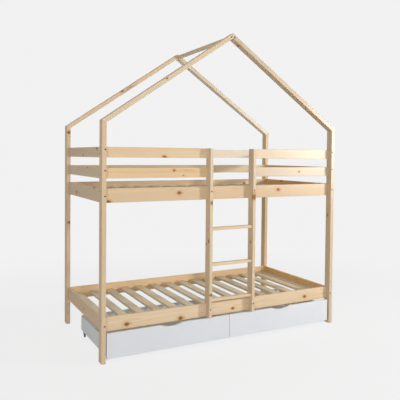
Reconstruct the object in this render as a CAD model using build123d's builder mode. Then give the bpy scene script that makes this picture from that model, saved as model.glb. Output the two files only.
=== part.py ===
from build123d import *
import math
import os

os.makedirs("parts", exist_ok=True)

# House bunk bed in pine, with two white drawers on castors under the lower bed.
# Millimetres. X runs along the bed to the right, Y to the rear, Z up.
# The origin is on the floor, in the middle of the four posts.

# Whole bed, over the outer faces of the posts
bed_length = 2074.0
bed_width = 1024.0
eave_height = 1684.0
roof_pitch_degrees = 34.0

# Post and rafter stock
post_thickness = 33.0
post_depth = 61.0
stock_edge_radius = 2.5
foot_radius = 6.0

# Ridge bar
ridge_bar_width = 40.0
ridge_bar_height = 22.0
ridge_bar_drop = 20.0
ridge_bolt_spread = 13.5

# Bed rails and guard rails
rail_thickness = 20.0
bed_rail_height = 100.0
upper_rail_drop = 473.0
lower_rail_top = 312.0
guard_height = 74.0
guard_drop = 184.0
guard_gap = 72.0
board_edge_radius = 2.0

# Ladder
ladder_centre_x = 12.5
ladder_clear_width = 364.0
upright_width = 25.0
upright_depth = 70.0
rung_height = 23.0
rung_depth = 34.0
rung_setback = 10.0
rung_edge_radius = 4.0
first_rung_rise = 19.0
top_step_drop = 62.5

# Slats and the ledgers that carry them
slat_width = 66.0
slat_thickness = 18.0
slat_pitch = 140.0
slat_drop = 46.0
slat_gap_at_left = 26.0
slat_end_clearance = 1.0
slat_edge_radius = 1.5
ledger_width = 22.0
ledger_height = 28.0

# Furniture bolts and their barrel nuts
bolt_radius = 3.0
bolt_head_radius = 5.0
bolt_head_height = 5.5
bolt_socket_radius = 2.9
bolt_socket_depth = 3.0
bolt_bite = 8.0
nut_radius = 5.0
nut_length = 14.0
nut_slot_width = 1.2
nut_slot_depth = 1.5
nut_inset = 30.0
counterbore_radius = 5.75
counterbore_depth = 7.0
rail_bolt_spread = 32.0
guard_short_bolt_drop = 13.0
guard_long_bolt_rise = 18.0
ladder_screw_rise = 12.0
ladder_screw_bite = 14.0

# Dowels and slat screws
dowel_radius = 4.0
dowel_length = 34.0
dowel_chamfer = 1.0
eave_dowel_spread = 14.0
rung_dowel_spread = 8.5
screw_radius = 2.0
screw_head_radius = 3.5
screw_length = 30.0
countersink_degrees = 90.0

# Drawers
drawer_post_gap = 11.0
drawer_middle_gap = 4.0
drawer_setback = 12.0
drawer_depth = 646.0
drawer_board = 16.0
drawer_front_bottom = 27.0
drawer_front_top = 206.0
drawer_side_height = 116.0
drawer_edge_radius = 1.0
drawer_bottom_thickness = 8.0
drawer_bottom_lift = 10.0
housing_depth = 6.0
scoop_width = 174.0
scoop_depth = 17.0

# Castors
wheel_radius = 16.0
wheel_width = 9.0
wheel_edge_radius = 1.5
wheel_dish_radius = 11.0
wheel_dish_depth = 1.0
wheel_head_gap = 5.0
wheel_side_gap = 0.5
castor_inset = 72.0
castor_plate_length = 44.0
castor_plate_thickness = 3.0
castor_cheek_thickness = 2.5
castor_cheek_top_length = 34.0
castor_cheek_radius = 7.0
castor_pin_radius = 3.0
castor_pin_chamfer = 0.4
castor_peg_radius = 3.0
castor_peg_spread = 15.0
castor_peg_cover = 2.0

# Fits
bolt_hole_clearance = 0.5
close_clearance = 0.1
thread_clearance = 0.05
running_clearance = 0.05
tip_clearance = 2.0
groove_clearance = 0.5
cut_overrun = 5.0

# Places worked out from the sizes
outer_x = bed_length / 2
outer_y = bed_width / 2
inner_x = outer_x - post_thickness
inner_y = outer_y - post_depth
post_centre_y = outer_y - post_depth / 2
end_rail_x = inner_x + rail_thickness / 2
side_rail_y = inner_y + rail_thickness / 2

roof_pitch = math.radians(roof_pitch_degrees)
rafter_plumb_depth = post_thickness / math.cos(roof_pitch)
mitre_fall = rafter_plumb_depth - post_thickness * math.tan(roof_pitch)
ridge_height = eave_height + outer_x * math.tan(roof_pitch)
ridge_bar_centre = ridge_height - ridge_bar_drop - ridge_bar_height / 2

upper_rail_top = eave_height - upper_rail_drop
top_guard_top = eave_height - guard_drop
mid_guard_top = top_guard_top - guard_height - guard_gap
bed_rail_tops = {"upper": upper_rail_top, "lower": lower_rail_top}
guard_tops = {"top": top_guard_top, "mid": mid_guard_top}
end_names = {"left": -1, "right": 1}
side_names = {"front": -1, "rear": 1}

ladder_left_x = ladder_centre_x - ladder_clear_width / 2
ladder_right_x = ladder_centre_x + ladder_clear_width / 2
ladder_front_y = -inner_y - upright_depth
rung_names = ("rung_low", "rung_middle", "rung_high")
first_rung_height = lower_rail_top + first_rung_rise
rung_pitch = (upper_rail_top - top_step_drop - first_rung_height) / len(rung_names)

right = Vector(1, 0, 0)
rear = Vector(0, 1, 0)
up = Vector(0, 0, 1)

# Bolt lengths. One short bolt serves posts and ladder uprights alike.
short_bolt_length = post_thickness - counterbore_depth + nut_inset + bolt_bite
long_bolt_length = post_depth - counterbore_depth + nut_inset + bolt_bite
thinnest_wall = min(post_thickness, upright_width)
bolt_bore_depth = short_bolt_length - (thinnest_wall - counterbore_depth) + tip_clearance
notched_upright_depth = upright_depth - rail_thickness
ladder_screw_length = notched_upright_depth - counterbore_depth + ladder_screw_bite

# Every bored hole notes here the place of the fastener that goes into it
short_bolt_places = []
long_bolt_places = []
nut_places = []
ladder_screw_places = []
dowel_places = []
slat_screw_places = []


def save(piece, node):
    """Name a finished piece and write its file."""
    piece.part.label = node
    export_step(piece.part, f"parts/{node}.step")


def rail_middle(rail_top):
    """Height of the middle of a bed rail."""
    return rail_top - bed_rail_height / 2


def guard_middle(guard_top):
    """Height of the middle of a guard rail."""
    return guard_top - guard_height / 2


def rail_short_bolts(rail_top):
    """Two bolts hold each end of a front or rear bed rail."""
    return [rail_middle(rail_top) - rail_bolt_spread, rail_middle(rail_top) + rail_bolt_spread]


def guard_short_bolts(guard_top):
    """One bolt holds each end of a front or rear guard."""
    return [guard_middle(guard_top) - guard_short_bolt_drop]


def rail_long_bolts(rail_top):
    """One bolt holds each end of an end bed rail."""
    return [rail_middle(rail_top)]


def guard_long_bolts(guard_top):
    """One bolt holds each end of an end guard, clear of the short bolt below it."""
    return [guard_middle(guard_top) + guard_long_bolt_rise]


def bolt_head_hole(face_point, outward, wall):
    """Counterbored hole through a wall, from the face where the bolt's head sits."""
    with Locations(Plane(origin=face_point, z_dir=outward)):
        CounterBoreHole(
            radius=bolt_radius + bolt_hole_clearance,
            counter_bore_radius=counterbore_radius,
            counter_bore_depth=counterbore_depth,
            depth=wall + cut_overrun,
        )


def bolt_end_bore(mouth, inward, nut_side, thickness, wall, bolt_places):
    """Bore in a board's end for a bolt, and the cross hole of its barrel nut.

    The nut goes in on nut_side, until its thread meets the bolt in the middle of the
    board. The bolt's head sits in the counterbore of the wall that the end meets.
    """
    nut_centre = mouth + inward * nut_inset
    with Locations(Plane(origin=mouth, z_dir=inward)):
        Hole(bolt_radius + bolt_hole_clearance, bolt_bore_depth)
    with Locations(Plane(origin=nut_centre + nut_side * (thickness / 2), z_dir=nut_side)):
        Hole(nut_radius + close_clearance, (thickness + nut_length) / 2)
    seat = mouth - inward * (wall - counterbore_depth)
    bolt_places.append(Plane(origin=seat, z_dir=inward))
    nut_places.append(Plane(origin=nut_centre, x_dir=inward, z_dir=nut_side))


def dowel_hole(place):
    """Hole for half a dowel, on either side of the face that the place lies on."""
    with Locations(place):
        Hole(dowel_radius + close_clearance, dowel_length / 2 + groove_clearance)


# Posts and rafters


def eave_dowels(end, side):
    """Two dowels square to the mitre between a post and its rafter."""
    middle_x = end * (outer_x - post_thickness / 2)
    middle_z = eave_height - mitre_fall / 2
    across_mitre = Vector(-end * mitre_fall, 0, post_thickness)
    return [
        Plane(origin=(middle_x, side * post_centre_y + offset, middle_z), z_dir=across_mitre)
        for offset in (-eave_dowel_spread, eave_dowel_spread)
    ]


def make_post(node, end, side):
    """Corner post with a mitred top, a rounded foot and the holes for its bolts."""
    with BuildPart() as post:
        with BuildSketch(Plane.XZ.offset(-side * post_centre_y)):
            Polygon(
                (end * outer_x, 0),
                (end * inner_x, 0),
                (end * inner_x, eave_height - mitre_fall),
                (end * outer_x, eave_height),
                align=None,
            )
        extrude(amount=post_depth / 2, both=True)
        fillet(post.faces().sort_by(Axis.Z)[0].edges(), foot_radius)
        fillet(post.edges().filter_by(Axis.Z), stock_edge_radius)
        for rail_top in bed_rail_tops.values():
            for height in rail_short_bolts(rail_top):
                place = Vector(end * outer_x, side * side_rail_y, height)
                bolt_head_hole(place, right * end, post_thickness)
            for height in rail_long_bolts(rail_top):
                place = Vector(end * end_rail_x, side * outer_y, height)
                bolt_head_hole(place, rear * side, post_depth)
        for guard_top in guard_tops.values():
            for height in guard_short_bolts(guard_top):
                place = Vector(end * outer_x, side * side_rail_y, height)
                bolt_head_hole(place, right * end, post_thickness)
            for height in guard_long_bolts(guard_top):
                place = Vector(end * end_rail_x, side * outer_y, height)
                bolt_head_hole(place, rear * side, post_depth)
        for place in eave_dowels(end, side):
            dowel_hole(place)
    save(post, node)


def make_rafter(node, end, side):
    """Rafter from the mitre on a post up to the plumb cut at the apex."""
    slope = Axis((0, 0, 0), (math.cos(roof_pitch), 0, -end * math.sin(roof_pitch)))
    with BuildPart() as rafter:
        with BuildSketch(Plane.XZ.offset(-side * post_centre_y)):
            Polygon(
                (end * outer_x, eave_height),
                (0, ridge_height),
                (0, ridge_height - rafter_plumb_depth),
                (end * inner_x, eave_height - mitre_fall),
                align=None,
            )
        extrude(amount=post_depth / 2, both=True)
        fillet(rafter.edges().filter_by(slope), stock_edge_radius)
        bolt_place = Vector(end * ridge_bolt_spread, side * outer_y, ridge_bar_centre)
        bolt_head_hole(bolt_place, rear * side, post_depth)
        for place in eave_dowels(end, side):
            dowel_hole(place)
    save(rafter, node)


for end_name, end in end_names.items():
    for side_name, side in side_names.items():
        make_post(f"post_{side_name}_{end_name}", end, side)
        make_rafter(f"rafter_{side_name}_{end_name}", end, side)
        dowel_places.extend(eave_dowels(end, side))

# Ridge bar, bolted through the apex of each gable

with BuildPart() as ridge_bar:
    with BuildSketch(Plane.XZ.offset(-inner_y)):
        with Locations((0, ridge_bar_centre)):
            Rectangle(ridge_bar_width, ridge_bar_height)
    extrude(amount=2 * inner_y)
    fillet(ridge_bar.edges().filter_by(Axis.Y), board_edge_radius)
    for side in side_names.values():
        for end in end_names.values():
            bolt_end_bore(
                mouth=Vector(end * ridge_bolt_spread, side * inner_y, ridge_bar_centre),
                inward=rear * -side,
                nut_side=up * -1,
                thickness=ridge_bar_height,
                wall=post_depth,
                bolt_places=long_bolt_places,
            )
save(ridge_bar, "ridge_bar")

# Rails and guards

left_post_face = (-inner_x, post_thickness)
right_post_face = (inner_x, post_thickness)
left_upright_face = (ladder_left_x - upright_width, upright_width)
right_upright_face = (ladder_right_x + upright_width, upright_width)


def make_board_along_bed(node, left_face, right_face, side, top, height, bolt_heights):
    """Front or rear board between two faces, each given with the wall behind it."""
    left_x, left_wall = left_face
    right_x, right_wall = right_face
    board_y = side * side_rail_y
    with BuildPart() as board:
        with BuildSketch(Plane.YZ.offset(left_x)):
            with Locations((board_y, top - height / 2)):
                Rectangle(rail_thickness, height)
        extrude(amount=right_x - left_x)
        fillet(board.edges().filter_by(Axis.X), board_edge_radius)
        for bolt_height in bolt_heights:
            bolt_end_bore(
                mouth=Vector(left_x, board_y, bolt_height),
                inward=right,
                nut_side=rear * -side,
                thickness=rail_thickness,
                wall=left_wall,
                bolt_places=short_bolt_places,
            )
            bolt_end_bore(
                mouth=Vector(right_x, board_y, bolt_height),
                inward=right * -1,
                nut_side=rear * -side,
                thickness=rail_thickness,
                wall=right_wall,
                bolt_places=short_bolt_places,
            )
        crosses_ladder = side == side_names["front"] and left_face is left_post_face
        if crosses_ladder and right_face is right_post_face:
            for place in ladder_screws(top):
                with Locations(place):
                    Hole(bolt_radius + close_clearance, ladder_screw_length + groove_clearance)
    save(board, node)


def ladder_screws(rail_top):
    """One screw through each upright into the bed rail in its notch."""
    seat_y = ladder_front_y + counterbore_depth
    height = rail_middle(rail_top) + ladder_screw_rise
    middles = (ladder_left_x - upright_width / 2, ladder_right_x + upright_width / 2)
    return [Plane(origin=(middle_x, seat_y, height), z_dir=rear) for middle_x in middles]


def make_board_across_bed(node, end, top, height, bolt_heights):
    """End board between the front post and the rear post."""
    board_x = end * end_rail_x
    with BuildPart() as board:
        with BuildSketch(Plane.XZ.offset(-inner_y)):
            with Locations((board_x, top - height / 2)):
                Rectangle(rail_thickness, height)
        extrude(amount=2 * inner_y)
        fillet(board.edges().filter_by(Axis.Y), board_edge_radius)
        for bolt_height in bolt_heights:
            for side in side_names.values():
                bolt_end_bore(
                    mouth=Vector(board_x, side * inner_y, bolt_height),
                    inward=rear * -side,
                    nut_side=right * -end,
                    thickness=rail_thickness,
                    wall=post_depth,
                    bolt_places=long_bolt_places,
                )
    save(board, node)


for level, top in bed_rail_tops.items():
    for side_name, side in side_names.items():
        make_board_along_bed(
            f"{level}_{side_name}_rail", left_post_face, right_post_face, side, top,
            bed_rail_height, rail_short_bolts(top),
        )
    for end_name, end in end_names.items():
        make_board_across_bed(
            f"{level}_{end_name}_end_rail", end, top, bed_rail_height, rail_long_bolts(top)
        )

front_and_rear_guards = (
    ("rear_guard", left_post_face, right_post_face, side_names["rear"]),
    ("front_left_guard", left_post_face, left_upright_face, side_names["front"]),
    ("front_right_guard", right_upright_face, right_post_face, side_names["front"]),
)
for level, top in guard_tops.items():
    for name, left_face, right_face, side in front_and_rear_guards:
        make_board_along_bed(
            f"{name}_{level}", left_face, right_face, side, top, guard_height,
            guard_short_bolts(top),
        )
    for end_name, end in end_names.items():
        make_board_across_bed(
            f"{end_name}_end_guard_{level}", end, top, guard_height, guard_long_bolts(top)
        )

# Ladder

rung_middle_y = ladder_front_y + rung_setback + rung_depth / 2


def rung_middle(index):
    """Height of the middle of a rung, counted from the lowest."""
    return first_rung_height + rung_pitch * index + rung_height / 2


def rung_dowels(face_x, index):
    """Two dowels between a rung's end and the upright's inner face."""
    return [
        Plane(origin=(face_x, rung_middle_y + offset, rung_middle(index)), z_dir=right)
        for offset in (-rung_dowel_spread, rung_dowel_spread)
    ]


def make_upright(node, end, inner_face_x):
    """Ladder upright, notched at the back round both front bed rails."""
    foot = lower_rail_top - bed_rail_height
    with BuildPart() as upright:
        with BuildSketch(Plane.YZ.offset(inner_face_x + end * upright_width / 2)):
            with Locations((ladder_front_y + upright_depth / 2, (foot + top_guard_top) / 2)):
                Rectangle(upright_depth, top_guard_top - foot)
            with Locations(*[(-side_rail_y, rail_middle(top)) for top in bed_rail_tops.values()]):
                Rectangle(rail_thickness, bed_rail_height, mode=Mode.SUBTRACT)
        extrude(amount=upright_width / 2, both=True)
        long_edges = upright.edges().filter_by(Axis.Z).group_by(Axis.Y)
        fillet(long_edges[0] + long_edges[-1], board_edge_radius)
        for rail_top in bed_rail_tops.values():
            for place in ladder_screws(rail_top):
                face_point = Vector(place.origin.X, ladder_front_y, place.origin.Z)
                bolt_head_hole(face_point, rear * -1, notched_upright_depth)
        for guard_top in guard_tops.values():
            for height in guard_short_bolts(guard_top):
                face_point = Vector(inner_face_x, -side_rail_y, height)
                bolt_head_hole(face_point, right * -end, upright_width)
        for index in range(len(rung_names)):
            for place in rung_dowels(inner_face_x, index):
                dowel_hole(place)
    save(upright, node)


def make_rung(node, index):
    """Rung between the two uprights, set back a little from their front faces."""
    with BuildPart() as rung:
        with BuildSketch(Plane.YZ.offset(ladder_left_x)):
            with Locations((rung_middle_y, rung_middle(index))):
                Rectangle(rung_depth, rung_height)
        extrude(amount=ladder_clear_width)
        fillet(rung.edges().filter_by(Axis.X), rung_edge_radius)
        for face_x in (ladder_left_x, ladder_right_x):
            for place in rung_dowels(face_x, index):
                dowel_hole(place)
    save(rung, node)


make_upright("ladder_upright_left", end_names["left"], ladder_left_x)
make_upright("ladder_upright_right", end_names["right"], ladder_right_x)
for index, node in enumerate(rung_names):
    make_rung(node, index)
    for face_x in (ladder_left_x, ladder_right_x):
        dowel_places.extend(rung_dowels(face_x, index))
for rail_top in bed_rail_tops.values():
    ladder_screw_places.extend(ladder_screws(rail_top))

# Slats on their ledgers

slat_length = 2 * (inner_y - slat_end_clearance)
ledger_centre_y = inner_y - ledger_width / 2


def slat_centres():
    """Slats at an even pitch from the left, and one more against the right end rail."""
    first = -inner_x + slat_gap_at_left + slat_width / 2
    last = inner_x - slat_end_clearance - slat_width / 2
    count = math.floor((last - slat_width - first) / slat_pitch) + 1
    return [first + slat_pitch * index for index in range(count)] + [last]


def make_slat_base(level, rail_top):
    """Loose slats with a screw at each end, and the two ledgers below them."""
    slat_top = rail_top - slat_drop
    ledger_top = slat_top - slat_thickness
    places = [
        Plane(origin=(x, side * ledger_centre_y, slat_top), z_dir=up)
        for x in slat_centres()
        for side in side_names.values()
    ]
    with BuildPart() as slats:
        with BuildSketch(Plane.XY.offset(ledger_top)):
            with Locations(*[(x, 0) for x in slat_centres()]):
                Rectangle(slat_width, slat_length)
        extrude(amount=slat_thickness)
        fillet(slats.edges().filter_by(Axis.Y), slat_edge_radius)
        with Locations(*places):
            CounterSinkHole(
                radius=screw_radius + close_clearance,
                counter_sink_radius=screw_head_radius + close_clearance,
                depth=slat_thickness + cut_overrun,
                counter_sink_angle=countersink_degrees,
            )
    save(slats, f"{level}_slats")

    nut_height = rail_short_bolts(rail_top)[0]
    with BuildPart() as ledgers:
        with BuildSketch(Plane.XY.offset(ledger_top - ledger_height)):
            with Locations((0, -ledger_centre_y), (0, ledger_centre_y)):
                Rectangle(2 * inner_x, ledger_width)
        extrude(amount=ledger_height)
        fillet(ledgers.edges().filter_by(Axis.X), slat_edge_radius)
        with Locations(*places):
            Hole(screw_radius + close_clearance, screw_length + groove_clearance)
        for end in end_names.values():
            for side in side_names.values():
                nut_x = end * (inner_x - nut_inset)
                nut_mouth = Vector(nut_x, side * ledger_centre_y, nut_height)
                with Locations(Plane(origin=nut_mouth, z_dir=rear)):
                    Hole(nut_radius + close_clearance, ledger_width)
    save(ledgers, f"{level}_ledgers")
    slat_screw_places.extend(places)


for level, top in bed_rail_tops.items():
    make_slat_base(level, top)

# Fasteners


def make_bolt(length):
    """Cap-head bolt along +Z, its seat at the origin and a hexagon socket in its head."""
    with BuildPart() as bolt:
        Cylinder(bolt_radius, length, align=(Align.CENTER, Align.CENTER, Align.MIN))
        Cylinder(bolt_head_radius, bolt_head_height, align=(Align.CENTER, Align.CENTER, Align.MAX))
        with BuildSketch(Plane.XY.offset(-bolt_head_height)):
            RegularPolygon(bolt_socket_radius, side_count=6)
        extrude(amount=bolt_socket_depth, mode=Mode.SUBTRACT)
    return bolt.part


def save_copies(piece, places, node):
    """Put a copy of a fastener at each of its places and write them as one group."""
    with BuildPart() as group:
        with Locations(*places):
            add(piece)
    save(group, node)


with BuildPart() as barrel_nut:
    Cylinder(nut_radius, nut_length)
    with Locations(Plane.YZ):
        Hole(bolt_radius + thread_clearance, nut_radius + cut_overrun)
    with BuildSketch(Plane.XY.offset(nut_length / 2)):
        Rectangle(2 * nut_radius, nut_slot_width)
    extrude(amount=-nut_slot_depth, mode=Mode.SUBTRACT)

with BuildPart() as dowel:
    Cylinder(dowel_radius, dowel_length)
    chamfer(dowel.edges().filter_by(GeomType.CIRCLE), dowel_chamfer)

screw_head_depth = screw_head_radius - screw_radius
with BuildPart() as slat_screw:
    with BuildSketch(Plane.XZ):
        Polygon(
            (0, -close_clearance / 2),
            (screw_head_radius, -close_clearance / 2),
            (screw_radius, -close_clearance / 2 - screw_head_depth),
            (screw_radius, -screw_length + screw_radius),
            (0, -screw_length),
            align=None,
        )
    revolve(axis=Axis.Z)

save_copies(make_bolt(short_bolt_length), short_bolt_places, "short_bolts")
save_copies(make_bolt(long_bolt_length), long_bolt_places, "long_bolts")
save_copies(make_bolt(ladder_screw_length), ladder_screw_places, "ladder_screws")
save_copies(barrel_nut.part, nut_places, "barrel_nuts")
save_copies(dowel.part, dowel_places, "wood_dowels")
save_copies(slat_screw.part, slat_screw_places, "slat_screws")

# Drawers

drawer_width = (2 * (inner_x - drawer_post_gap) - drawer_middle_gap) / 2
drawer_front_y = -outer_y + drawer_setback
drawer_box_y = drawer_front_y + drawer_board
drawer_back_y = drawer_front_y + drawer_depth
housed_y = drawer_box_y - housing_depth
side_bottom = 2 * wheel_radius + wheel_head_gap + castor_plate_thickness
side_middle_z = side_bottom + drawer_side_height / 2
bottom_middle_z = side_bottom + drawer_bottom_lift + drawer_bottom_thickness / 2
groove_height = drawer_bottom_thickness + 2 * close_clearance
castor_ys = {"front": drawer_box_y + castor_inset, "rear": drawer_back_y - castor_inset}
castor_width = wheel_width + 2 * (wheel_side_gap + castor_cheek_thickness)
peg_length = drawer_bottom_lift - castor_peg_cover


def make_drawer_front(node, middle_x):
    """Front with a scoop at the top, stepped at each end for the sides and grooved for the bottom."""
    scoop_radius = (scoop_width**2 / 4 + scoop_depth**2) / (2 * scoop_depth)
    front_height = drawer_front_top - drawer_front_bottom
    side_offset = (drawer_width - drawer_board) / 2
    with BuildPart() as front:
        with BuildSketch(Plane.XZ.offset(-drawer_box_y)):
            with Locations((middle_x, drawer_front_bottom + front_height / 2)):
                Rectangle(drawer_width, front_height)
            with Locations((middle_x, drawer_front_top + scoop_radius - scoop_depth)):
                Circle(scoop_radius, mode=Mode.SUBTRACT)
        extrude(amount=drawer_board)
        fillet(front.faces().sort_by(Axis.Y)[0].edges(), drawer_edge_radius)
        with BuildSketch(Plane.XZ.offset(-drawer_box_y)):
            with Locations(*[(middle_x + end * side_offset, side_middle_z) for end in end_names.values()]):
                Rectangle(drawer_board, drawer_side_height)
            with Locations((middle_x, bottom_middle_z)):
                Rectangle(drawer_width - drawer_board, groove_height)
        extrude(amount=housing_depth, mode=Mode.SUBTRACT)
    save(front, node)


def make_drawer_side(node, middle_x, end):
    """Side board, grooved inside for the bottom and stepped at the rear for the back."""
    outer_face = middle_x + end * drawer_width / 2
    inner_face = outer_face - end * drawer_board
    board_middle = (outer_face + inner_face) / 2
    cut_middle = inner_face + end * (housing_depth - cut_overrun) / 2
    cut_width = housing_depth + cut_overrun
    with BuildPart() as board:
        with BuildSketch(Plane.XZ.offset(-drawer_back_y)):
            with Locations((board_middle, side_middle_z)):
                Rectangle(drawer_board, drawer_side_height)
        extrude(amount=drawer_back_y - housed_y)
        top_edges = board.faces().sort_by(Axis.Z)[-1].edges().filter_by(Axis.Y)
        fillet(top_edges, drawer_edge_radius)
        with BuildSketch(Plane.XZ.offset(-drawer_back_y)):
            with Locations((cut_middle, bottom_middle_z)):
                Rectangle(cut_width, groove_height)
        extrude(amount=drawer_back_y - housed_y, mode=Mode.SUBTRACT)
        with BuildSketch(Plane.XZ.offset(-drawer_back_y)):
            with Locations((cut_middle, side_middle_z)):
                Rectangle(cut_width, drawer_side_height)
        extrude(amount=drawer_board, mode=Mode.SUBTRACT)
        for castor_y in castor_ys.values():
            for offset in (-castor_peg_spread, castor_peg_spread):
                peg_mouth = Vector(board_middle, castor_y + offset, side_bottom)
                with Locations(Plane(origin=peg_mouth, z_dir=up)):
                    Hole(castor_peg_radius + close_clearance, peg_length + groove_clearance)
    save(board, node)


def make_drawer_back(node, middle_x):
    """Back board between the sides, grooved for the bottom."""
    back_length = drawer_width - 2 * (drawer_board - housing_depth)
    with BuildPart() as back:
        with BuildSketch(Plane.XZ.offset(-drawer_back_y)):
            with Locations((middle_x, side_middle_z)):
                Rectangle(back_length, drawer_side_height)
        extrude(amount=drawer_board)
        top_edges = back.faces().sort_by(Axis.Z)[-1].edges().filter_by(Axis.X)
        fillet(top_edges, drawer_edge_radius)
        with BuildSketch(Plane.XZ.offset(-drawer_back_y + drawer_board)):
            with Locations((middle_x, bottom_middle_z)):
                Rectangle(back_length, groove_height)
        extrude(amount=-housing_depth, mode=Mode.SUBTRACT)
    save(back, node)


def make_drawer_bottom(node, middle_x):
    """Bottom panel, held in the grooves of the four boards."""
    reach = housing_depth - groove_clearance
    panel_width = drawer_width - 2 * drawer_board + 2 * reach
    panel_front = drawer_box_y - reach
    panel_rear = drawer_back_y - drawer_board + reach
    with BuildPart() as panel:
        with BuildSketch(Plane.XY.offset(bottom_middle_z - drawer_bottom_thickness / 2)):
            with Locations((middle_x, (panel_front + panel_rear) / 2)):
                Rectangle(panel_width, panel_rear - panel_front)
        extrude(amount=drawer_bottom_thickness)
    save(panel, node)


def castor_middles(middle_x):
    """The castors stand under the middle of each side board."""
    offset = (drawer_width - drawer_board) / 2
    return [middle_x + end * offset for end in end_names.values()]


def make_castor_housing():
    """Moulded fork with its wheel axis at the origin: a plate, two cheeks and two pegs."""
    plate_top = side_bottom - wheel_radius
    plate_bottom = plate_top - castor_plate_thickness
    with BuildPart() as housing:
        with BuildSketch(Plane.XY.offset(plate_bottom)):
            Rectangle(castor_width, castor_plate_length)
        extrude(amount=castor_plate_thickness)
        with BuildSketch(Plane.YZ):
            Polygon(
                (-castor_cheek_top_length / 2, plate_bottom),
                (castor_cheek_top_length / 2, plate_bottom),
                (castor_cheek_radius, 0),
                (-castor_cheek_radius, 0),
                align=None,
            )
            Circle(castor_cheek_radius)
        extrude(amount=castor_width / 2, both=True)
        with BuildSketch(Plane.YZ):
            with Locations((0, plate_bottom - wheel_radius - castor_cheek_radius)):
                Rectangle(castor_plate_length, 2 * (wheel_radius + castor_cheek_radius))
        extrude(amount=wheel_width / 2 + wheel_side_gap, both=True, mode=Mode.SUBTRACT)
        with Locations(Plane.YZ):
            Hole(castor_pin_radius + running_clearance, castor_width)
        with BuildSketch(Plane.XY.offset(plate_top)):
            with Locations((0, -castor_peg_spread), (0, castor_peg_spread)):
                Circle(castor_peg_radius)
        extrude(amount=peg_length)
    return housing.part


def make_castor_pin():
    """Pin through both cheeks, its axis along X."""
    with BuildPart() as pin:
        with BuildSketch(Plane.YZ):
            Circle(castor_pin_radius)
        extrude(amount=castor_width / 2, both=True)
        chamfer(pin.edges().filter_by(GeomType.CIRCLE), castor_pin_chamfer)
    return pin.part


def make_wheel():
    """Wheel with rounded edges, dished on both faces and bored to run on its pin."""
    with BuildPart() as wheel:
        with BuildSketch(Plane.YZ):
            Circle(wheel_radius)
        extrude(amount=wheel_width / 2, both=True)
        fillet(wheel.edges().filter_by(GeomType.CIRCLE), wheel_edge_radius)
        for face_x in (-wheel_width / 2, wheel_width / 2):
            with Locations(Plane.YZ.offset(face_x)):
                Hole(wheel_dish_radius, wheel_dish_depth)
        with BuildSketch(Plane.YZ):
            Circle(castor_cheek_radius)
        extrude(amount=wheel_width / 2, both=True)
        with Locations(Plane.YZ):
            Hole(castor_pin_radius + running_clearance, wheel_width)
    return wheel.part


def make_drawer(name, end):
    """One drawer: its five boards, four castor housings with pins, and two pairs of wheels."""
    middle_x = end * (drawer_width + drawer_middle_gap) / 2
    make_drawer_front(f"{name}_drawer_front", middle_x)
    for side_name, side_end in end_names.items():
        make_drawer_side(f"{name}_drawer_{side_name}_side", middle_x, side_end)
    make_drawer_back(f"{name}_drawer_back", middle_x)
    make_drawer_bottom(f"{name}_drawer_bottom", middle_x)
    castor_places = []
    for row, castor_y in castor_ys.items():
        row_places = [Vector(x, castor_y, wheel_radius) for x in castor_middles(middle_x)]
        save_copies(make_wheel(), row_places, f"{name}_drawer_{row}_wheels")
        castor_places.extend(row_places)
    save_copies(make_castor_housing(), castor_places, f"{name}_drawer_castor_housings")
    save_copies(make_castor_pin(), castor_places, f"{name}_drawer_castor_pins")


for name, end in end_names.items():
    make_drawer(name, end)
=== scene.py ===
import math

import bpy
import numpy as np
from mathutils import Matrix, Vector


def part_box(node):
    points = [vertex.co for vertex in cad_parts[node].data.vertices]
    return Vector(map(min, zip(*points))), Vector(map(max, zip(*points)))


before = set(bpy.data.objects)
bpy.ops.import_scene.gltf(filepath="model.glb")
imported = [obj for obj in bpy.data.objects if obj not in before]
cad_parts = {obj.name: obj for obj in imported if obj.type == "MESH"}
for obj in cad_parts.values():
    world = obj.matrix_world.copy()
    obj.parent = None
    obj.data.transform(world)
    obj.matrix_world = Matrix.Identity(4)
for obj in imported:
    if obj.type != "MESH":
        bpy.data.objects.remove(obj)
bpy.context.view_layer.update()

# Camera: the viewer stands in front of the left end, at the height of the top guard,
# and looks almost level along the bed. The picture is 400 pixels wide.
scene = bpy.context.scene
picture_width = 400.0
focal_pixels = 520.1
optical_axis_pixel = (191.1, 170.0)
sensor_width = 36.0
viewer = Vector((-2.1283, -3.9240, 1.4457))
yaw, pitch, roll = (math.radians(angle) for angle in (27.464, -1.616, 0.506))

forward = Vector((
    math.sin(yaw) * math.cos(pitch),
    math.cos(yaw) * math.cos(pitch),
    math.sin(pitch),
))
level_right = Vector((math.cos(yaw), -math.sin(yaw), 0.0))
level_up = level_right.cross(forward)
right = math.cos(roll) * level_right + math.sin(roll) * level_up
up = math.cos(roll) * level_up - math.sin(roll) * level_right
lens_data = bpy.data.cameras.new("viewer")
lens_data.sensor_width = sensor_width
lens_data.lens = focal_pixels / picture_width * sensor_width
lens_data.shift_x = 0.5 - optical_axis_pixel[0] / picture_width
lens_data.shift_y = optical_axis_pixel[1] / picture_width - 0.5
camera = bpy.data.objects.new("viewer", lens_data)
scene.collection.objects.link(camera)
facing = Matrix((right, up, -forward)).transposed().to_4x4()
camera.matrix_world = Matrix.Translation(viewer) @ facing
scene.camera = camera
scene.view_settings.view_transform = "Standard"


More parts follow.
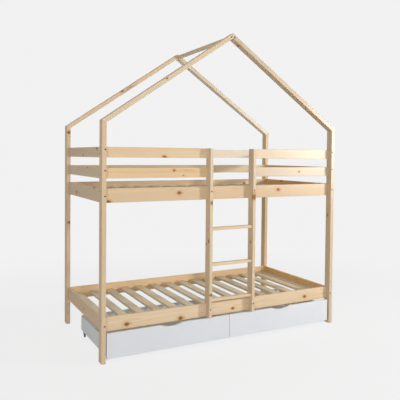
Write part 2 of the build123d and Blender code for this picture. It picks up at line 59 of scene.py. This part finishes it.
# Studio: a pale floor that runs into a pale surround. A wide lamp stands high at the front
# left, a small one at the front right casts the shadows, and one fills the rear. The sheen
# lamp, close to the bed's right end, shows only in the lacquer's gloss.
surround_colour = (0.885, 0.885, 0.885, 1.0)
surround_light_colour = (1.0, 1.0, 1.0, 1.0)
surround_light = 0.17
floor_colour = (0.830, 0.830, 0.830, 1.0)
floor_reach = 60.0
floor_shadow_share = 0.11
shadow_paper_colour = (1.0, 1.0, 1.0, 1.0)
shadow_reach = (1.6, 4.0)
wide_lamp_across = 3.00
small_lamp_across = 0.30
sheen_lamp_across = 0.80


def wire(tree, kind, *values, **settings):
    """Adds one shader node. Each value goes to the input of the same number, linked or set."""
    made = tree.nodes.new(kind)
    for name, value in settings.items():
        setattr(made, name, value)
    for place, value in enumerate(values):
        if isinstance(value, bpy.types.NodeSocket):
            tree.links.new(value, made.inputs[place])
        elif value is not None:
            made.inputs[place].default_value = value
    return made.outputs[0] if made.outputs else None


def object_place(tree):
    """Where a point lies on its own piece."""
    return tree.nodes.new("ShaderNodeTexCoord").outputs["Object"]


def length_of(tree, place):
    """How far a place is from the middle."""
    made = tree.nodes.new("ShaderNodeVectorMath")
    made.operation = "LENGTH"
    tree.links.new(place, made.inputs[0])
    return made.outputs["Value"]


def ease(tree, value, low, high, at_low=0.0, at_high=1.0):
    """Turns smoothly from at_low to at_high as the value goes from low to high."""
    made = tree.nodes.new("ShaderNodeMapRange")
    made.interpolation_type = "SMOOTHSTEP"
    tree.links.new(value, made.inputs["Value"])
    limits = {"From Min": low, "From Max": high, "To Min": at_low, "To Max": at_high}
    for name, limit in limits.items():
        made.inputs[name].default_value = limit
    return made.outputs["Result"]


def sees_surround(tree):
    """1 for a ray from the camera, off a gloss or through glass, and 0 for light on its way."""
    path = tree.nodes.new("ShaderNodeLightPath")
    seen = wire(tree, "ShaderNodeMath", path.outputs["Is Camera Ray"], path.outputs["Is Glossy Ray"],
                operation="MAXIMUM")
    return wire(tree, "ShaderNodeMath", seen, path.outputs["Is Transmission Ray"],
                operation="MAXIMUM")


def hang_lamp(name, place, aim, size, watts, only_in_gloss=False):
    """A round soft lamp, out of the camera's sight. It shows in gloss or lights, not both."""
    place, aim = Vector(place), Vector(aim)
    lamp_data = bpy.data.lights.new(name, "AREA")
    lamp_data.shape = "DISK"
    lamp_data.size = size
    lamp_data.energy = watts
    lamp = bpy.data.objects.new(name, lamp_data)
    scene.collection.objects.link(lamp)
    lamp.location = place
    lamp.rotation_mode = "QUATERNION"
    lamp.rotation_quaternion = (place - aim).to_track_quat("Z", "Y")
    lamp.visible_camera = False
    lamp.visible_glossy = only_in_gloss
    lamp.visible_diffuse = not only_in_gloss


world = bpy.data.worlds.new("surround")
world.use_nodes = True
scene.world = world
sky = world.node_tree
sky.nodes.clear()
lit = wire(sky, "ShaderNodeBackground", surround_light_colour, surround_light)
seen = wire(sky, "ShaderNodeBackground", surround_colour, 1.0)
shown = wire(sky, "ShaderNodeMixShader", sees_surround(sky), lit, seen)
wire(sky, "ShaderNodeOutputWorld", shown)

floor_mesh = bpy.data.meshes.new("floor")
floor_mesh.from_pydata(
    [(-floor_reach, -floor_reach, 0.0), (floor_reach, -floor_reach, 0.0),
     (floor_reach, floor_reach, 0.0), (-floor_reach, floor_reach, 0.0)],
    [], [(0, 1, 2, 3)],
)
floor = bpy.data.objects.new("floor", floor_mesh)
scene.collection.objects.link(floor)
floor_paint = bpy.data.materials.new("floor_paint")
floor_paint.use_nodes = True
tree = floor_paint.node_tree
tree.nodes.clear()
from_bed = length_of(tree, object_place(tree))
near_share = ease(tree, from_bed, *shadow_reach, floor_shadow_share, 0.0)
matt = wire(tree, "ShaderNodeBsdfDiffuse", floor_colour)
glow = wire(tree, "ShaderNodeEmission", surround_colour, 1.0)
paper = wire(tree, "ShaderNodeBsdfDiffuse", shadow_paper_colour)
seen_floor = wire(tree, "ShaderNodeMixShader", near_share, glow, paper)
whole_floor = wire(tree, "ShaderNodeMixShader", sees_surround(tree), matt, seen_floor)
wire(tree, "ShaderNodeOutputMaterial", whole_floor)
floor_mesh.materials.append(floor_paint)

hang_lamp("main_lamp", (-3.30, -5.40, 2.90), aim=(0.0, -0.4, 0.8), size=wide_lamp_across,
          watts=200.0)
hang_lamp("shadow_lamp", (3.26, -3.12, 2.02), aim=(0.0, -0.4, 1.0), size=small_lamp_across,
          watts=114.0)
hang_lamp("rear_lamp", (1.00, 6.50, 2.20), aim=(0.0, 0.4, 1.0), size=wide_lamp_across,
          watts=190.0)
hang_lamp("sheen_lamp", (1.72, -1.39, 1.58), aim=(0.9, -0.4, 1.35), size=sheen_lamp_across,
          watts=36.0, only_in_gloss=True)


# Posts: four lengths of planed pine, 33 by 61 mm, with a clear matt lacquer. The grain
# follows the log's growth rings, which show as lines on the faces and arcs on the ends.
# Each board in the bed has the tone of its own tree, from pale to amber, and two have painted sheen.
early_wood = (0.730, 0.580, 0.397, 1.0)
late_wood = (0.585, 0.403, 0.228, 1.0)
honey_wood = (0.640, 0.455, 0.265, 1.0)
resin_wood = (0.560, 0.280, 0.085, 1.0)
knot_heart = (0.290, 0.085, 0.015, 1.0)
knot_rim = (0.140, 0.044, 0.010, 1.0)
deep_tree = (0.90, 0.87, 0.84, 1.0)
dull_tree = (0.86, 0.87, 0.91, 1.0)
warm_tree = (0.97, 0.92, 0.84, 1.0)

# Where a board was cut from its log, in metres, and how far boards differ.
heart_aside = 0.03
heart_below = (0.025, 0.060)
log_reach = 8.0
plank_reach = 30.0
plank_heart_aside = 0.04
shade_range = (0.92, 1.08)
board_dice_step = 0.37
board_ring_step = 1.7

# Growth rings, in metres, and the late wood in each, in parts of a ring.
ring_width = 0.0042
ring_wave = 0.015
ring_ripple = 0.0015
ring_unevenness = 1.6
late_rise = (0.25, 0.86)
late_fall = (0.93, 1.0)
late_strength = (0.30, 1.05)
late_share = 0.62

# Knots, resin spurs and smears, in parts of a knot's radius or of a smear's width.
knot_length = 1.35
knot_depth_through = 2.2
knot_raggedness = 0.18
knot_edge = (0.60, 0.98)
knot_middle = (0.15, 0.80)
knot_share = 0.92
ring_push = 0.9
halo_fade = (0.6, 2.4)
halo_share = 0.45
spur_length = 1.3
spur_half_width = 0.40
spur_fade = (0.5, 1.2)
spur_share = 0.8
smear_fade = (0.1, 1.1)
smear_share = 0.7

# Colour drift, dark fibres, worn edges, end grain and the lacquer's gloss.
honey_fade = (0.35, 0.72)
honey_share = 0.45
dark_fibre_fade = (0.62, 0.80)
dark_fibre_share = 0.30
worn_edge = 0.0035
worn_share = 0.35
end_grain_fade = (0.80, 0.95)
end_grain_share = 0.55
lacquer_roughness = (0.38, 0.54)
end_grain_roughness = 0.20
late_smoothness = 0.06
lacquer_reflection = 0.35
pine_bump = 0.30
bump_height = 0.0002


def number(tree, way, *values):
    """One sum of one to three numbers, such as ADD or ABSOLUTE."""
    return wire(tree, "ShaderNodeMath", *values, operation=way)


def spread(tree, share, low, high):
    """Turns a share from 0 to 1 into a number from low to high, in a straight line."""
    return number(tree, "MULTIPLY_ADD", share, high - low, low)


def tint(tree, share, first, second, way="MIX"):
    """Mixes two colours by a share from 0 to 1."""
    made = tree.nodes.new("ShaderNodeMix")
    made.data_type = "RGBA"
    made.blend_type = way
    factor_input, first_colour_input, second_colour_input, colour_output = 0, 6, 7, 2
    inputs = {factor_input: share, first_colour_input: first, second_colour_input: second}
    for place, value in inputs.items():
        if isinstance(value, bpy.types.NodeSocket):
            tree.links.new(value, made.inputs[place])
        else:
            made.inputs[place].default_value = value
    return made.outputs[colour_output]


def noise(tree, place, per_metre, detail=2.0, roughness=0.5):
    """Soft noise from 0 to 1, with that many bumps to the metre."""
    made = tree.nodes.new("ShaderNodeTexNoise")
    tree.links.new(place, made.inputs["Vector"])
    made.inputs["Scale"].default_value = per_metre
    made.inputs["Detail"].default_value = detail
    made.inputs["Roughness"].default_value = roughness
    return made.outputs["Fac"]


def join(tree, u, v, w):
    """Three numbers as one place."""
    return wire(tree, "ShaderNodeCombineXYZ", u, v, w)


def stretched(tree, u, v, w, u_share):
    """A place whose noise comes out longer along u, which is cut to that share."""
    return join(tree, number(tree, "MULTIPLY", u, u_share), v, w)


def new_finish(name):
    """An empty material, its node tree and its main shader."""
    finish = bpy.data.materials.new(name)
    finish.use_nodes = True
    tree = finish.node_tree
    tree.nodes.clear()
    skin = tree.nodes.new("ShaderNodeBsdfPrincipled")
    wire(tree, "ShaderNodeOutputMaterial", skin.outputs[0])
    return finish, tree, skin


def roughen(tree, skin, height, strength):
    """Lets the light see a fine relief, no higher than bump_height, on a smooth face."""
    bump = tree.nodes.new("ShaderNodeBump")
    bump.inputs["Strength"].default_value = strength
    bump.inputs["Distance"].default_value = bump_height
    tree.links.new(height, bump.inputs["Height"])
    tree.links.new(bump.outputs["Normal"], skin.inputs["Normal"])


def dress(node, finish):
    """Gives a CAD node its finish."""
    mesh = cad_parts[node].data
    if not mesh.materials:
        mesh.materials.append(finish)
    for place in range(len(mesh.materials)):
        mesh.materials[place] = finish


def pine(node, along, across, seed, tree_tone, knots=(), streaks=(), warmth=0.3, turn=0.0,
         plank_pitch=0.0):
    """Lacquered pine on one board, or on a row of like boards that lie plank_pitch apart.

    u runs along the grain, v across the width and w through the thickness, all from the
    board's middle. A ring's place is the distance in v and w from the log's heart, bent
    by slow noise stretched along u, and pushed outwards round each knot. Its remainder
    over the ring's width goes from pale early wood to a thin darker line of late wood.
    A knot is a place in the bed and a radius, and has a resin spur to one side. A streak
    of resin is a place, half its width and how many times longer it is than wide. The
    board leans by turn about Y.
    """
    chance = np.random.default_rng(seed)
    low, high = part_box(node)
    middle = (low + high) / 2
    finish, tree, skin = new_finish(f"pine_{node}")
    coordinate = tree.nodes.new("ShaderNodeTexCoord")
    centred = wire(tree, "ShaderNodeMapping", coordinate.outputs["Object"], tuple(middle),
                   (0.0, turn, 0.0), vector_type="TEXTURE")
    parts = tree.nodes.new("ShaderNodeSeparateXYZ")
    tree.links.new(centred, parts.inputs[0])
    through = ({"X", "Y", "Z"} - {along, across}).pop()
    u, v, w = (parts.outputs[letter] for letter in (along, across, through))
    half_thickness = (high - low)["XYZ".index(through)] / 2
    half_width = (high - low)["XYZ".index(across)] / 2
    heart_v = chance.uniform(-heart_aside, heart_aside)
    heart_w = chance.choice((-1.0, 1.0)) * chance.uniform(*heart_below)
    start = chance.uniform(-log_reach, log_reach)
    honey = chance.uniform(0.0, 1.0)
    plank_shade = 1.0
    if plank_pitch:
        steps = number(tree, "DIVIDE", v, plank_pitch)
        plank = number(tree, "ROUND", steps)
        v = number(tree, "MULTIPLY", number(tree, "SUBTRACT", steps, plank), plank_pitch)
        dice = tree.nodes.new("ShaderNodeTexWhiteNoise")
        dice.noise_dimensions = "1D"
        tree.links.new(number(tree, "ADD", plank, seed * board_dice_step), dice.inputs["W"])
        throws = tree.nodes.new("ShaderNodeSeparateXYZ")
        tree.links.new(dice.outputs["Color"], throws.inputs[0])
        start = number(tree, "MULTIPLY", throws.outputs[0], plank_reach)
        heart_v = spread(tree, throws.outputs[1], -plank_heart_aside, plank_heart_aside)
        plank_shade = spread(tree, throws.outputs[0], *shade_range)
        honey = throws.outputs[2]
        # This lies past the planks' edges, which show no wear.
        half_width = plank_pitch
    u = number(tree, "ADD", u, start)

    slow_place = stretched(tree, u, v, w, u_share=0.10)
    small_place = stretched(tree, u, v, w, u_share=0.22)
    fibre_place = stretched(tree, u, v, w, u_share=0.018)
    wave = spread(tree, noise(tree, slow_place, per_metre=8.0), -ring_wave, ring_wave)
    ripple = spread(tree, noise(tree, small_place, per_metre=55.0), -ring_ripple, ring_ripple)
    from_heart = join(tree, number(tree, "SUBTRACT", v, heart_v),
                      number(tree, "SUBTRACT", w, heart_w), 0.0)
    radius = number(tree, "ADD", length_of(tree, from_heart), number(tree, "ADD", wave, ripple))

    lean = Matrix.Rotation(-turn, 3, "Y")

    def on_board(marks):
        """The marks, with each place taken from the board's middle and along its axes."""
        return [(lean @ (Vector(mark[:3]) - middle), *mark[3:]) for mark in marks]

    def gap_to(spot, long, half, shift=0.0):
        """The distance from a mark's middle, 1 on the edge of an oval 2 long by 2 half."""
        ku, kv, kw = (spot["XYZ".index(letter)] for letter in (along, across, through))
        away = join(
            tree,
            number(tree, "DIVIDE", number(tree, "SUBTRACT", parts.outputs[along], ku + shift), long),
            number(tree, "DIVIDE", number(tree, "SUBTRACT", v, kv), half),
            number(tree, "DIVIDE", number(tree, "SUBTRACT", w, kw), half * knot_depth_through),
        )
        return number(tree, "ADD", length_of(tree, away), ragged)

    knot_mask, knot_halo, knot_depth, resin = 0.0, 0.0, 0.0, 0.0
    if knots or streaks:
        ragged = spread(tree, noise(tree, join(tree, u, v, w), per_metre=170.0),
                        -knot_raggedness, knot_raggedness)
    for spot, size in on_board(knots):
        gap = gap_to(spot, size * knot_length, size)
        knot_mask = number(tree, "MAXIMUM", knot_mask, ease(tree, gap, *knot_edge, 1.0, 0.0))
        knot_depth = number(tree, "MAXIMUM", knot_depth, ease(tree, gap, *knot_middle, 1.0, 0.0))
        halo = ease(tree, gap, *halo_fade, 1.0, 0.0)
        knot_halo = number(tree, "MAXIMUM", knot_halo, halo)
        spur_gap = gap_to(spot, size * spur_length, size * spur_half_width, size * spur_length)
        spur = ease(tree, spur_gap, *spur_fade, spur_share, 0.0)
        resin = number(tree, "MAXIMUM", resin, spur)
        radius = number(tree, "ADD", radius, number(tree, "MULTIPLY", halo, size * ring_push))
    for spot, half, stretch in on_board(streaks):
        smear = ease(tree, gap_to(spot, half * stretch, half), *smear_fade, smear_share, 0.0)
        resin = number(tree, "MAXIMUM", resin, smear)

    ring_place = join(tree, radius, 0.0, seed * board_ring_step)
    uneven = number(tree, "MULTIPLY", noise(tree, ring_place, per_metre=60.0, detail=1.0),
                    ring_unevenness)
    rings = number(tree, "ADD", number(tree, "DIVIDE", radius, ring_width), uneven)
    rings = number(tree, "FRACT", rings)
    late = number(tree, "MULTIPLY", ease(tree, rings, *late_rise),
                  ease(tree, rings, *late_fall, 1.0, 0.0))
    strong = spread(tree, noise(tree, slow_place, per_metre=26.0), *late_strength)
    late = number(tree, "MULTIPLY", late, strong)

    fibre = noise(tree, fibre_place, per_metre=700.0)
    dark_fibre = noise(tree, fibre_place, per_metre=130.0, detail=3.0, roughness=0.6)
    broad = noise(tree, slow_place, per_metre=5.0)
    warm = number(tree, "MULTIPLY_ADD", ease(tree, broad, *honey_fade), honey_share,
                  number(tree, "MULTIPLY", honey, warmth))
    colour = tint(tree, warm, early_wood, honey_wood)
    colour = tint(tree, number(tree, "MULTIPLY", late, late_share), colour, late_wood)
    colour = tint(tree, ease(tree, dark_fibre, *dark_fibre_fade, 0.0, dark_fibre_share), colour,
                  late_wood)
    shade = number(tree, "MULTIPLY", spread(tree, fibre, *shade_range), plank_shade)
    colour = tint(tree, 1.0, colour, join(tree, shade, shade, shade), "MULTIPLY")
    colour = tint(tree, 1.0, colour, tree_tone, "MULTIPLY")
    if knots or streaks:
        colour = tint(tree, number(tree, "MULTIPLY", knot_halo, halo_share), colour, resin_wood)
        colour = tint(tree, resin, colour, resin_wood)
        knot_colour = tint(tree, knot_depth, knot_rim, knot_heart)
        colour = tint(tree, number(tree, "MULTIPLY", knot_mask, knot_share), colour, knot_colour)

    side_v = ease(tree, number(tree, "ABSOLUTE", v), half_width - worn_edge, half_width)
    side_w = ease(tree, number(tree, "ABSOLUTE", w), half_thickness - worn_edge, half_thickness)
    worn = number(tree, "MULTIPLY", side_v, side_w)
    colour = tint(tree, number(tree, "MULTIPLY", worn, worn_share), colour, honey_wood)
    face = tree.nodes.new("ShaderNodeSeparateXYZ")
    tree.links.new(coordinate.outputs["Normal"], face.inputs[0])
    end_grain = ease(tree, number(tree, "ABSOLUTE", face.outputs[along]), *end_grain_fade)
    colour = tint(tree, number(tree, "MULTIPLY", end_grain, end_grain_share), colour, late_wood)
    tree.links.new(colour, skin.inputs["Base Color"])

    gloss = number(tree, "ADD", spread(tree, fibre, *lacquer_roughness),
                   number(tree, "MULTIPLY", end_grain, end_grain_roughness))
    gloss = number(tree, "SUBTRACT", gloss, number(tree, "MULTIPLY", late, late_smoothness))
    tree.links.new(gloss, skin.inputs["Roughness"])
    height = number(tree, "ADD", number(tree, "MULTIPLY", late, 0.5),
                    number(tree, "MULTIPLY", fibre, 0.5))
    roughen(tree, skin, height, pine_bump)
    skin.inputs["Specular IOR Level"].default_value = lacquer_reflection
    dress(node, finish)


front_of_rear_frame = 0.451
pine("post_front_left", "Z", "Y", 11, deep_tree, warmth=0.35, knots=[
    (-1.030, -0.490, 0.930, 0.006)])
pine("post_front_right", "Z", "Y", 12, dull_tree, warmth=0.35, knots=[
    (1.008, -0.475, 0.937, 0.009)])
pine("post_rear_left", "Z", "Y", 13, deep_tree, warmth=0.45, knots=[
    (-1.016, front_of_rear_frame, 1.629, 0.010), (-1.014, front_of_rear_frame, 0.867, 0.008)])
pine("post_rear_right", "Z", "Y", 14, warm_tree, warmth=0.35)


# Rafters: the same stock as the posts, cut to a mitre at the eave and plumb at the apex.
# Each leans 34 degrees, so its grain is turned to run up the slope.
roof_lean = math.radians(34.0)
front_of_gable = -0.512
# Painted sheen: pale wood, made paler and bluer still to stand in for the lacquer's sheen.
painted_sheen_tone = (1.10, 1.22, 1.42, 1.0)
fair_tree = (1.00, 1.00, 1.00, 1.0)
mild_tree = (0.93, 0.95, 0.99, 1.0)
pine("rafter_front_left", "X", "Z", 21, mild_tree, turn=-roof_lean, knots=[
    (-0.556, front_of_gable, 1.997, 0.007)])
pine("rafter_front_right", "X", "Z", 22, dull_tree, turn=roof_lean, knots=[
    (0.070, -0.480, 2.305, 0.012)])
pine("rafter_rear_left", "X", "Z", 23, fair_tree, turn=-roof_lean, knots=[
    (-0.545, front_of_rear_frame, 2.005, 0.009)])
# Painted sheen on this rafter's pale tone.
pine("rafter_rear_right", "X", "Z", 24, painted_sheen_tone, turn=roof_lean)


# Ridge bar: one pine length between the two gables. Bolts through each apex go into its
# ends.
pale_tree = (1.05, 1.11, 1.17, 1.0)
pine("ridge_bar", "Y", "X", 31, pale_tree)


# Bed rails: pine boards, 20 by 100 mm, lacquered with their edges eased. Two bolts hold
# each end of the long ones and one each end of the short ones.
front_of_front_boards = -0.471
outside_of_left_end = -1.024
inside_of_right_end = 1.004
honey_tree = (1.14, 1.07, 0.98, 1.0)
amber_tree = (1.08, 0.90, 0.64, 1.0)
pine("upper_front_rail", "X", "Z", 41, deep_tree, knots=[
    (-0.431, front_of_front_boards, 1.167, 0.015), (-0.975, front_of_front_boards, 1.118, 0.014),
    (0.473, front_of_front_boards, 1.171, 0.015)])
pine("upper_rear_rail", "X", "Z", 42, fair_tree, knots=[(0.745, front_of_rear_frame, 1.172, 0.013)])
pine("upper_left_end_rail", "Y", "Z", 43, warm_tree, knots=[
    (outside_of_left_end, 0.178, 1.144, 0.013), (outside_of_left_end, 0.093, 1.145, 0.006),
    (outside_of_left_end, -0.290, 1.216, 0.020)])
pine("upper_right_end_rail", "Y", "Z", 44, amber_tree, knots=[
    (inside_of_right_end, -0.371, 1.200, 0.014), (inside_of_right_end, 0.181, 1.205, 0.011)])
pine("lower_front_rail", "X", "Z", 45, fair_tree, knots=[
    (-0.838, front_of_front_boards, 0.244, 0.016), (-0.412, front_of_front_boards, 0.228, 0.017),
    (0.046, front_of_front_boards, 0.244, 0.012), (0.765, front_of_front_boards, 0.253, 0.014)])
pine("lower_rear_rail", "X", "Z", 46, honey_tree)
pine("lower_left_end_rail", "Y", "Z", 47, warm_tree, knots=[
    (outside_of_left_end, -0.030, 0.260, 0.008)])
pine("lower_right_end_rail", "Y", "Z", 48, amber_tree,
     knots=[(inside_of_right_end, -0.393, 0.281, 0.012)],
     streaks=[(inside_of_right_end, -0.330, 0.285, 0.010, 4.0),
              (inside_of_right_end, -0.054, 0.283, 0.010, 5.0)])


# Guard rails: narrower pine boards, 20 by 74 mm, one above the other on all four sides,
# with a gap for the ladder at the front.
pine("front_left_guard_top", "X", "Z", 51, fair_tree, knots=[
    (-0.554, front_of_front_boards, 1.431, 0.014)])
pine("front_left_guard_mid", "X", "Z", 52, warm_tree, knots=[
    (-0.474, front_of_front_boards, 1.334, 0.010), (-0.397, front_of_front_boards, 1.295, 0.005)],
    streaks=[(-0.375, front_of_front_boards, 1.334, 0.007, 14.0)])
pine("front_right_guard_top", "X", "Z", 53, mild_tree)
pine("front_right_guard_mid", "X", "Z", 54, dull_tree, knots=[
    (0.686, front_of_front_boards, 1.316, 0.009)])
# Painted sheen on the top rear guard's pale tone.
pine("rear_guard_top", "X", "Z", 55, painted_sheen_tone)
pine("rear_guard_mid", "X", "Z", 56, fair_tree)
pine("left_end_guard_top", "Y", "Z", 57, warm_tree, knots=[
    (outside_of_left_end, -0.352, 1.488, 0.012), (outside_of_left_end, -0.008, 1.441, 0.008)])
pine("left_end_guard_mid", "Y", "Z", 58, fair_tree, knots=[
    (outside_of_left_end, -0.120, 1.351, 0.009)])
pine("right_end_guard_top", "Y", "Z", 59, fair_tree)
pine("right_end_guard_mid", "Y", "Z", 60, fair_tree)


# Ladder: two uprights notched round the front bed rails, and three rungs dowelled
# between them.
front_of_ladder = -0.521
left_of_left_upright = -0.194
left_of_right_upright = 0.194
cool_tree = (0.97, 1.02, 1.07, 1.0)
pine("ladder_upright_left", "Z", "Y", 61, cool_tree, knots=[
    (-0.171, front_of_ladder, 1.086, 0.011), (left_of_left_upright, -0.500, 0.794, 0.011),
    (left_of_left_upright, -0.470, 0.770, 0.006), (-0.178, front_of_ladder, 0.386, 0.008)])
pine("ladder_upright_right", "Z", "Y", 62, mild_tree, knots=[
    (0.205, front_of_ladder, 1.120, 0.018), (left_of_right_upright, -0.490, 0.761, 0.008)])
for order, rung in enumerate(("rung_low", "rung_middle", "rung_high")):
    pine(rung, "X", "Y", 63 + order, fair_tree, warmth=0.2)


# Sleeping bases: fifteen pine slats a bed, screwed down to a ledger along each rail. The
# slats differ a little in tone; the ledgers' browner tone is painted shade under the slats.
slat_pitch = 0.140
grey_tree = (1.00, 1.09, 1.13, 1.0)
# Painted shade: the ledgers' darker, browner tone stands in for shade under the slats' ends.
ledger_painted_shade_tone = (0.86, 0.80, 0.70, 1.0)
for order, level in enumerate(("upper", "lower")):
    pine(f"{level}_slats", "Y", "X", 71 + order, grey_tree, plank_pitch=slat_pitch, warmth=0.4)
    pine(f"{level}_ledgers", "X", "Y", 73 + order, ledger_painted_shade_tone, warmth=0.5)


# Fasteners: bronzed bolts and screws with hexagon sockets, zinc-plated barrel nuts and
# slat screws, and beech dowels inside the joints.
bronze_tone = (0.010, 0.007, 0.005, 1.0)
zinc_tone = (0.560, 0.555, 0.540, 1.0)
most_noise = (0.3, 0.7)
scratch_tone_share = 0.6
scratch_roughness = 0.18


def metal(name, tone, roughness):
    """Plated steel with fine scratches and a slightly uneven tone."""
    finish, tree, skin = new_finish(name)
    spots = noise(tree, object_place(tree), per_metre=900.0, detail=3.0)
    dark = tuple(scratch_tone_share * part for part in tone[:3]) + (1.0,)
    tree.links.new(tint(tree, spots, dark, tone), skin.inputs["Base Color"])
    rough = ease(tree, spots, *most_noise, roughness, roughness + scratch_roughness)
    tree.links.new(rough, skin.inputs["Roughness"])
    skin.inputs["Metallic"].default_value = 1.0
    return finish


bronzed = metal("bronzed_steel", bronze_tone, roughness=0.70)
zinc = metal("zinc_plate", zinc_tone, roughness=0.32)
for group in ("short_bolts", "long_bolts", "ladder_screws"):
    dress(group, bronzed)
for group in ("barrel_nuts", "slat_screws", "left_drawer_castor_pins", "right_drawer_castor_pins"):
    dress(group, zinc)
pine("wood_dowels", "X", "Y", 81, pale_tree)


# Drawers: boards faced in matt white, with a finely pebbled surface and edges banded in
# the same white. The raw core never shows.
front_white = (0.695, 0.711, 0.738, 1.0)
# Painted light: one white facing in three tones. The sides and the inner boards get less light, so
# they are painted paler than the fronts.
side_white_painted_light = (0.770, 0.795, 0.800, 1.0)
inner_white_painted_light = (0.915, 0.900, 0.875, 1.0)
cloud_tone_share = 0.94
facing_roughness = (0.42, 0.56)
pebble_bump = 0.25


def white_board(name, board_colour):
    """Matt white facing: an even tone with faint clouds, over a fine pebble."""
    finish, tree, skin = new_finish(name)
    place = object_place(tree)
    clouds = noise(tree, place, per_metre=6.0, detail=3.0)
    pebble = noise(tree, place, per_metre=1400.0)
    shaded = tuple(cloud_tone_share * part for part in board_colour[:3]) + (1.0,)
    tree.links.new(tint(tree, clouds, shaded, board_colour), skin.inputs["Base Color"])
    tree.links.new(ease(tree, pebble, *most_noise, *facing_roughness), skin.inputs["Roughness"])
    roughen(tree, skin, pebble, pebble_bump)
    return finish


front_facing = white_board("front_facing", front_white)
# Painted light on the side and inner boards, which are paler than the fronts.
side_facing_painted_light = white_board("side_facing_painted_light", side_white_painted_light)
inner_facing_painted_light = white_board("inner_facing_painted_light", inner_white_painted_light)
for drawer in ("left", "right"):
    dress(f"{drawer}_drawer_front", front_facing)
    for board, facing in (("left_side", side_facing_painted_light), ("right_side", side_facing_painted_light),
                          ("back", inner_facing_painted_light), ("bottom", inner_facing_painted_light)):
        dress(f"{drawer}_drawer_{board}", facing)


# Castors: moulded dark grey forks pegged into the side boards, and hard wheels that run
# on steel pins.
fork_grey = (0.150, 0.148, 0.148, 1.0)
wheel_grey = (0.120, 0.120, 0.124, 1.0)
grain_tone_share = 1.5
grain_roughness = 0.15
grain_bump = 0.3


def moulded(name, tone, roughness):
    """Dark moulded plastic with a light spark-eroded grain."""
    finish, tree, skin = new_finish(name)
    grain = noise(tree, object_place(tree), per_metre=1800.0)
    pale = tuple(grain_tone_share * part for part in tone[:3]) + (1.0,)
    tree.links.new(tint(tree, grain, tone, pale), skin.inputs["Base Color"])
    rough = ease(tree, grain, *most_noise, roughness, roughness + grain_roughness)
    tree.links.new(rough, skin.inputs["Roughness"])
    roughen(tree, skin, grain, grain_bump)
    return finish


fork_plastic = moulded("fork_plastic", fork_grey, roughness=0.45)
wheel_plastic = moulded("wheel_plastic", wheel_grey, roughness=0.50)
for drawer in ("left", "right"):
    dress(f"{drawer}_drawer_castor_housings", fork_plastic)
    for row in ("front", "rear"):
        dress(f"{drawer}_drawer_{row}_wheels", wheel_plastic)
